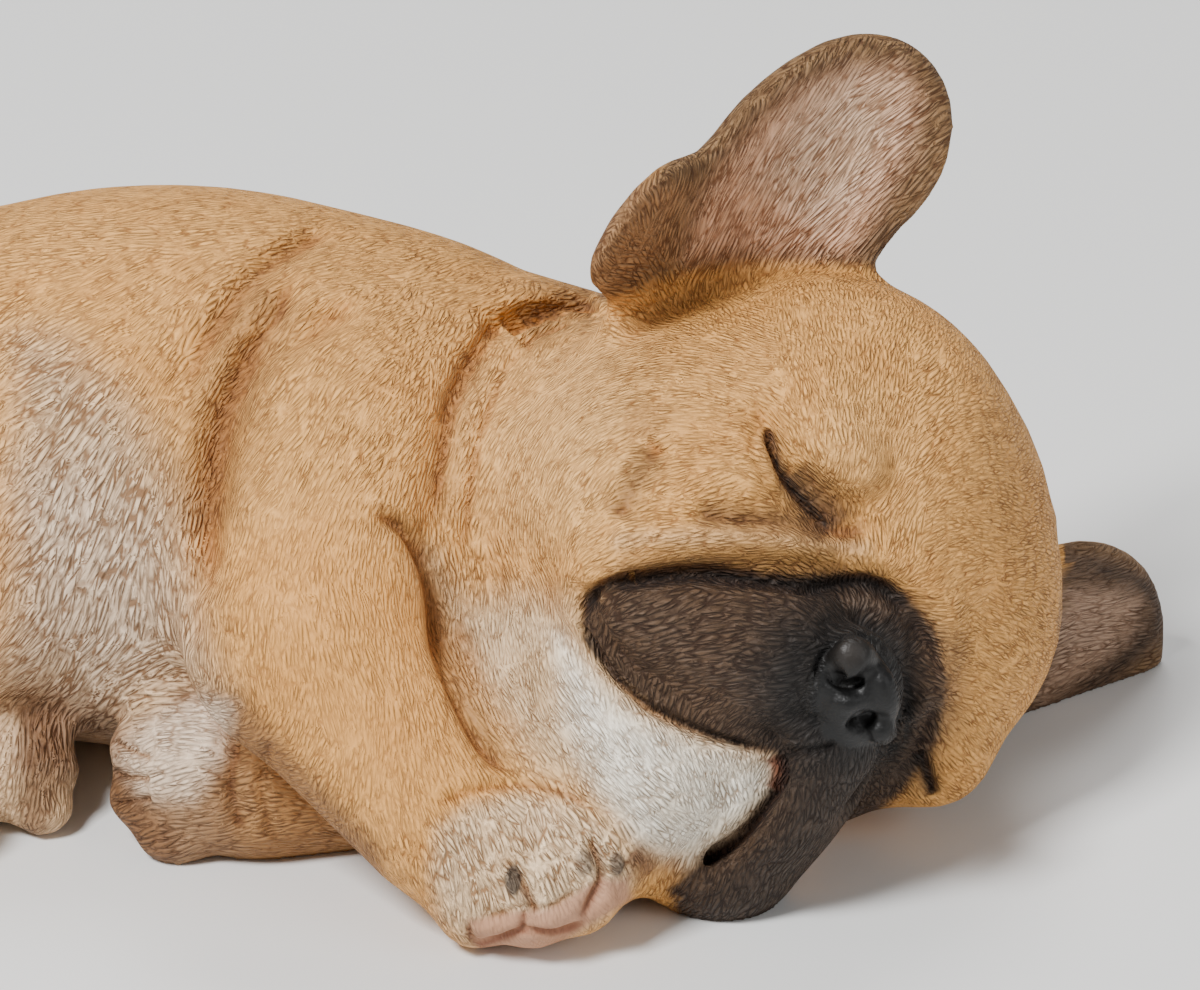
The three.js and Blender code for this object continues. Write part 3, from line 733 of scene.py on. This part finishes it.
# edges of the mask and lips
stain(
    (
        (583, 622), (589, 600), (608, 586), (644, 578), (703, 573), (764, 580), (815, 586), (861, 582),
        (890, 594), (904, 615),
    ),
    3.2, 0.9, tint(36, 28, 23),
)
stain(((582, 630), (592, 648), (615, 676), (655, 708), (715, 735), (775, 752)), 1.6, 0.9, tint(40, 31, 26))
stain(((775, 753), (782, 775), (768, 802), (738, 838), (692, 866)), 2.6, 0.9, tint(50, 32, 24))
stain(((770, 756), (776, 772), (770, 790)), 2.4, 0.8, tint(118, 62, 34))
stain(((630, 852), (642, 862), (652, 872)), 5, 0.8, tint(110, 66, 40))
# gaps of the toes and pads, and the claws
stain(
    ((467, 920), (470, 936), (479, 944), (498, 939), (523, 931), (563, 931), (590, 918)),
    1.3, 0.75, tint(124, 66, 40),
)
stain(((524, 912), (521, 931)), 1.2, 0.6, tint(124, 76, 56))
stain(((601, 872), (598, 886), (580, 920)), 1.3, 0.75, tint(112, 66, 46))
stain(((522, 884), (530, 900), (537, 912)), 2.4, 0.6, tint(124, 76, 46))
stain(((594, 846), (600, 862), (602, 876)), 2.2, 0.6, tint(104, 68, 46))
CLAWS = [
    ((513, 880), (9, 17), tint(84, 76, 70)),
    ((584, 863), (10, 14), tint(164, 144, 122)),
    ((617, 864), (8, 13), tint(116, 102, 88)),
]
for at, half, horn in CLAWS:
    brush(horn, 0.9 * seen * (1 - ramp(np.linalg.norm((dots - at) / half, axis=1), 0.75, 1.15)))

# How deep the hair is carved: deepest on mask, belly, ears and paw, shallow on the arm, none on the nose.
carved = np.full(len(coat), 0.85)
carved += 0.5 * on(MASK_LINE, 10) + 0.4 * on(BELLY, 30) + 0.3 * on(EAR_ALL, 20) + 0.3 * on(PAW, 20)
WHOLE_ARM = ((250, 480), (330, 500), (420, 560), (440, 700), (500, 790), (400, 820), (260, 700))
carved -= 0.3 * on(WHOLE_ARM, 50)
carved *= 1 - nose
carved *= 1 - 0.8 * seen * inside(dots, PADS, 7)
PATCH = 15
SECOND_PATCH = 1.15 * PATCH
TURN_BY = 0.16
FADE = (0.0, 0.45)
MOST_SHIFT = 50
chance = np.random.default_rng(8)
# How long and wide a stroke is on each part, in millimetres.
WAYS = {
    "body": (5.2, 1.05),
    "belly": (8.5, 1.35),
    "head": (4.0, 0.85),
    "muzzle": (4.8, 1.05),
    "ear": (8.0, 1.0),
    "arm": (4.4, 0.9),
    "paw": (5.0, 1.0),
}
HEAD_REACH = 60
SEEN_ENOUGH = 0.2
ARM_FROM, ARM_TO = -65, 30
ARM_FRONT = -5


def stroke_size(at, head_at, dot, sight):
    """How long and wide the carved strokes are at a place."""
    drawn = np.array([dot])
    parts = (("ear", EAR_ALL), ("muzzle", MASK_LINE), ("paw", PAW), ("paw", LOW_LEG), ("belly", BELLY))
    for part, outline in parts:
        if sight > SEEN_ENOUGH and inside(drawn, outline, 4)[0] > 0.5:
            return WAYS[part]
    if np.linalg.norm(head_at * HEAD_OVAL) < HEAD_REACH:
        return WAYS["head"]
    if ARM_FROM < at[0] < ARM_TO and at[1] < ARM_FRONT:
        return WAYS["arm"]
    return WAYS["body"]


def patches(spacing):
    """Covers the skin with patches of hair that each lie one way, and gives each corner its place along and
    across the strokes of its patch, with how far from the patch's edge it is."""
    order = chance.permutation(len(skin.places))
    block = np.floor(skin.places[order] / spacing + chance.uniform(0, 1, 3))
    side = np.argmax(np.abs(skin.facings[order]), 1) * np.sign(skin.facings[order]).sum(1)
    block = np.concatenate((block, side[:, None]), 1)
    seeds = order[np.unique(block, axis=0, return_index=True)[1]]
    first = np.full(len(skin.places), FAR_OFF)
    second = np.full(len(skin.places), FAR_OFF)
    owner = np.zeros(len(skin.places), int)
    for k, i in enumerate(seeds):
        far = np.sqrt(
            np.sum((skin.places - skin.places[i]) ** 2, axis=1)
            + (spacing * (1 - skin.facings @ skin.facings[i])) ** 2
        )
        nearer = far < first
        second = np.where(nearer, first, np.minimum(second, far))
        first = np.where(nearer, far, first)
        owner[nearer] = k
    inward = ramp((second - first) / 2, *FADE)
    home = owner[triangles[:, 0]]
    home = np.where(owner[triangles[:, 1]] == owner[triangles[:, 2]], owner[triangles[:, 1]], home)
    turn = chance.normal(0, TURN_BY, len(seeds))
    lie = comb[seeds] * np.cos(turn)[:, None] + across[seeds] * np.sin(turn)[:, None]
    beside = unit(np.cross(skin.facings[seeds], lie))
    sizes = np.array([stroke_size(skin.places[i], in_head[i], dots[i], seen[i]) for i in seeds])
    shift = chance.uniform(0, MOST_SHIFT, (len(seeds), 2))
    home = np.repeat(home, 3)
    away = skin.places[corners] - skin.places[seeds[home]]
    along = np.einsum("ij,ij->i", away, lie[home]) / sizes[home, 0] + shift[home, 0]
    aside = np.einsum("ij,ij->i", away, beside[home]) / sizes[home, 1] + shift[home, 1]
    return np.stack((along, aside, inward[corners]), 1)


def keep(piece, name, values, domain="POINT"):
    """Stores a value, vector or colour at each vertex or corner for the paint to read."""
    values = np.asarray(values, np.float32)
    kind = "FLOAT" if values.ndim == 1 else {3: "FLOAT_VECTOR", 4: "FLOAT_COLOR"}[values.shape[1]]
    field = {"FLOAT": "value", "FLOAT_VECTOR": "vector", "FLOAT_COLOR": "color"}[kind]
    piece.data.attributes.new(name, kind, domain).data.foreach_set(field, values.ravel())


keep(puppy, "coat", np.concatenate((coat, np.ones((len(coat), 1))), 1))
keep(puppy, "first_strokes", patches(PATCH), "CORNER")
keep(puppy, "second_strokes", patches(SECOND_PATCH), "CORNER")
underside = ramp(-skin.facings[:, 2], 0.6, 0.95)
keep(puppy, "fur", carved * (1 - 0.85 * underside))
keep(puppy, "nose", nose)


class Paint:
    """A shader value that adds and multiplies as a number does."""

    def __init__(self, tree, socket=None):
        self.tree = tree
        self.socket = socket

    def node(self, kind, settings, inputs, output=0):
        """Adds a shader node and gives back one of its outputs."""
        made = self.tree.nodes.new(kind)
        for name, value in settings.items():
            setattr(made, name, value)
        for name, value in inputs.items():
            if isinstance(value, Paint):
                self.tree.links.new(value.socket, made.inputs[name])
            else:
                made.inputs[name].default_value = value
        return Paint(self.tree, made.outputs[output])

    def maths(self, operation, *values):
        return self.node("ShaderNodeMath", {"operation": operation}, dict(enumerate(values)))

    def __add__(self, other):
        return self.maths("ADD", self, other)

    def __sub__(self, other):
        return self.maths("SUBTRACT", self, other)

    def __mul__(self, other):
        return self.maths("MULTIPLY", self, other)

    def __rsub__(self, other):
        return self.maths("SUBTRACT", other, self)

    __radd__ = __add__
    __rmul__ = __mul__

    def read(self, name, output):
        return self.node("ShaderNodeAttribute", {"attribute_name": name}, {}, output)

    def eased(self, value, start, end):
        return self.node(
            "ShaderNodeMapRange",
            {"interpolation_type": "SMOOTHSTEP"},
            {"Value": value, "From Min": start, "From Max": end},
        )

    def mixed(self, share, a, b, blend="MIX"):
        settings = {"data_type": "RGBA", "blend_type": blend}
        return self.node("ShaderNodeMix", settings, {0: share, 6: a, 7: b}, 2)


resin = bpy.data.materials.new("painted_resin")
resin.use_nodes = True
tree = resin.node_tree
surface = tree.nodes["Principled BSDF"]
paint = Paint(tree)
where = paint.node("ShaderNodeTexCoord", {}, {}, "Object")
fur = paint.read("fur", "Fac")
nose_share = paint.read("nose", "Fac")
coat_colour = paint.read("coat", "Color")

SPECKLE_SIZE = 2.6 * MM
PORE_SIZE = 0.8 * MM
CLOUD_SIZE = 14 * MM


def noise(size, detail, rough=0.5):
    """Uneven light and dark, with the size of its spots in metres."""
    return paint.node(
        "ShaderNodeTexNoise",
        {},
        {"Vector": where, "Scale": 1 / size, "Detail": detail, "Roughness": rough},
        "Fac",
    )


speckle = noise(SPECKLE_SIZE, 2.0, 0.6)
pores = noise(PORE_SIZE, 1.0)
cloud = noise(CLOUD_SIZE, 1.0)
CUT_WIDTH = 0.21
RIDGE_WIDTH = 0.5


def strokes(name):
    """One layer of carved strokes: how near a cut and a ridge each point is, and a chance number a stroke."""
    place_on = paint.read(name, "Vector")
    inward = paint.node("ShaderNodeSeparateXYZ", {}, {"Vector": place_on}, "Z")
    flat = {"Vector": place_on, "Scale": 1.0, "Randomness": 1.0}
    to_edge = {"voronoi_dimensions": "2D", "feature": "DISTANCE_TO_EDGE"}
    edge = paint.node("ShaderNodeTexVoronoi", to_edge, flat, "Distance")
    cell = paint.node("ShaderNodeTexVoronoi", {"voronoi_dimensions": "2D", "feature": "F1"}, flat, "Color")
    each = paint.node("ShaderNodeSeparateColor", {}, {"Color": cell}, "Red")
    cut_near = (1 - paint.eased(edge, 0.0, CUT_WIDTH)) * inward
    ridge_near = paint.eased(edge, 0.0, RIDGE_WIDTH) * inward
    return cut_near, ridge_near, each


first_cut, first_ridge, first_chance = strokes("first_strokes")
second_cut, second_ridge, _ = strokes("second_strokes")
cuts = paint.maths("MAXIMUM", first_cut, second_cut)
ridges = paint.maths("MAXIMUM", first_ridge, second_ridge)
uneven = (0.45 + 0.6 * first_chance) * (0.65 + 0.5 * paint.eased(speckle, 0.34, 0.6))
depth = paint.maths("MINIMUM", cuts * uneven * fur, 1.0)
WASH_SHARE = 0.95
TONE_SHARE = 0.5
CLOUD_SHARE = 0.3
CUT_TINT = (0.27, 0.19, 0.13, 1.0)
DARK_STROKE = (0.8, 0.76, 0.7, 1.0)
LIGHT_STROKE = (1.2, 1.2, 1.2, 1.0)
CLOUD_TINT = (0.84, 0.74, 0.6, 1.0)
washed = paint.mixed(depth * WASH_SHARE, coat_colour, paint.mixed(1.0, coat_colour, CUT_TINT, "MULTIPLY"))
stroke_tint = paint.mixed(first_chance, DARK_STROKE, LIGHT_STROKE)
toned = paint.mixed(fur * TONE_SHARE, washed, paint.mixed(1.0, washed, stroke_tint, "MULTIPLY"))
clouded = paint.mixed(1.0, toned, CLOUD_TINT, "MULTIPLY")
colour = paint.mixed(paint.eased(cloud, 0.45, 0.7) * CLOUD_SHARE, toned, clouded)

# The height of the strokes, the specks and the pits of the nose, in millimetres.
RIDGE_HEIGHT = 0.38
CUT_DEPTH = 0.36
SPECKLE_HEIGHT = 0.05
PORE_HEIGHT = 0.12
height = ridges * fur * RIDGE_HEIGHT - depth * CUT_DEPTH
height = height + speckle * SPECKLE_HEIGHT * fur + nose_share * pores * PORE_HEIGHT
bump = paint.node("ShaderNodeBump", {}, {"Strength": 1.0, "Distance": MM, "Height": height}, "Normal")
tree.links.new(colour.socket, surface.inputs["Base Color"])
tree.links.new(bump.socket, surface.inputs["Normal"])
MATT = 0.64
CUT_MATT = 0.2
NOSE_GLOSS = 0.16
rough = MATT + depth * CUT_MATT - nose_share * NOSE_GLOSS
tree.links.new(rough.socket, surface.inputs["Roughness"])
surface.inputs["Specular IOR Level"].default_value = 0.35
puppy.data.materials.clear()
puppy.data.materials.append(resin)

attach(puppy, "root")
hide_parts("french_bulldog")


# The studio: a plain pale floor, and soft light from large boxes above and to both sides.

FLOOR_SIZE = 6
FLOOR_DROP = 0.0002
FLOOR_GREY = (0.78, 0.78, 0.77, 1)
SKY_STRENGTH = 0.24
SENSOR = 36

bpy.ops.mesh.primitive_plane_add(size=FLOOR_SIZE, location=(0, 0, -FLOOR_DROP))
floor = bpy.context.active_object
floor.name = "floor"
pale = bpy.data.materials.new("pale_floor")
pale.use_nodes = True
pale_surface = pale.node_tree.nodes["Principled BSDF"]
pale_surface.inputs["Base Color"].default_value = FLOOR_GREY
pale_surface.inputs["Roughness"].default_value = 0.8
floor.data.materials.append(pale)


def soft_box(name, at, size, watts):
    """A large square light that faces the figure."""
    lamp = bpy.data.lights.new(name, "AREA")
    lamp.size = size
    lamp.energy = watts
    box = bpy.data.objects.new(name, lamp)
    box.location = at
    box.rotation_mode = "QUATERNION"
    middle = AIM * MM
    box.rotation_quaternion = Vector(middle - np.array(at)).to_track_quat("-Z", "Y")
    bpy.context.scene.collection.objects.link(box)


soft_box("key", (-0.75, -0.9, 1.5), 0.45, 54)
soft_box("fill", (1.3, -0.9, 0.8), 0.9, 8)
soft_box("top", (0.2, 0.9, 1.6), 0.8, 15)
sky = bpy.data.worlds.new("studio")
sky.use_nodes = True
sky.node_tree.nodes["Background"].inputs["Color"].default_value = (1, 1, 1, 1)
sky.node_tree.nodes["Background"].inputs["Strength"].default_value = SKY_STRENGTH
bpy.context.scene.world = sky

lens = bpy.data.cameras.new("front")
lens.sensor_fit = "HORIZONTAL"
lens.sensor_width = SENSOR
lens.lens = DOTS * EYE_AWAY * lens.sensor_width / VIEW_SIZE[0]
lens.clip_start = 0.05
lens.clip_end = 20
camera = bpy.data.objects.new("front", lens)
camera.location = eye * MM
camera.rotation_mode = "XYZ"
camera.rotation_euler = (math.pi / 2 - EYE_HEIGHT, 0, 0)
bpy.context.scene.collection.objects.link(camera)
bpy.context.scene.camera = camera
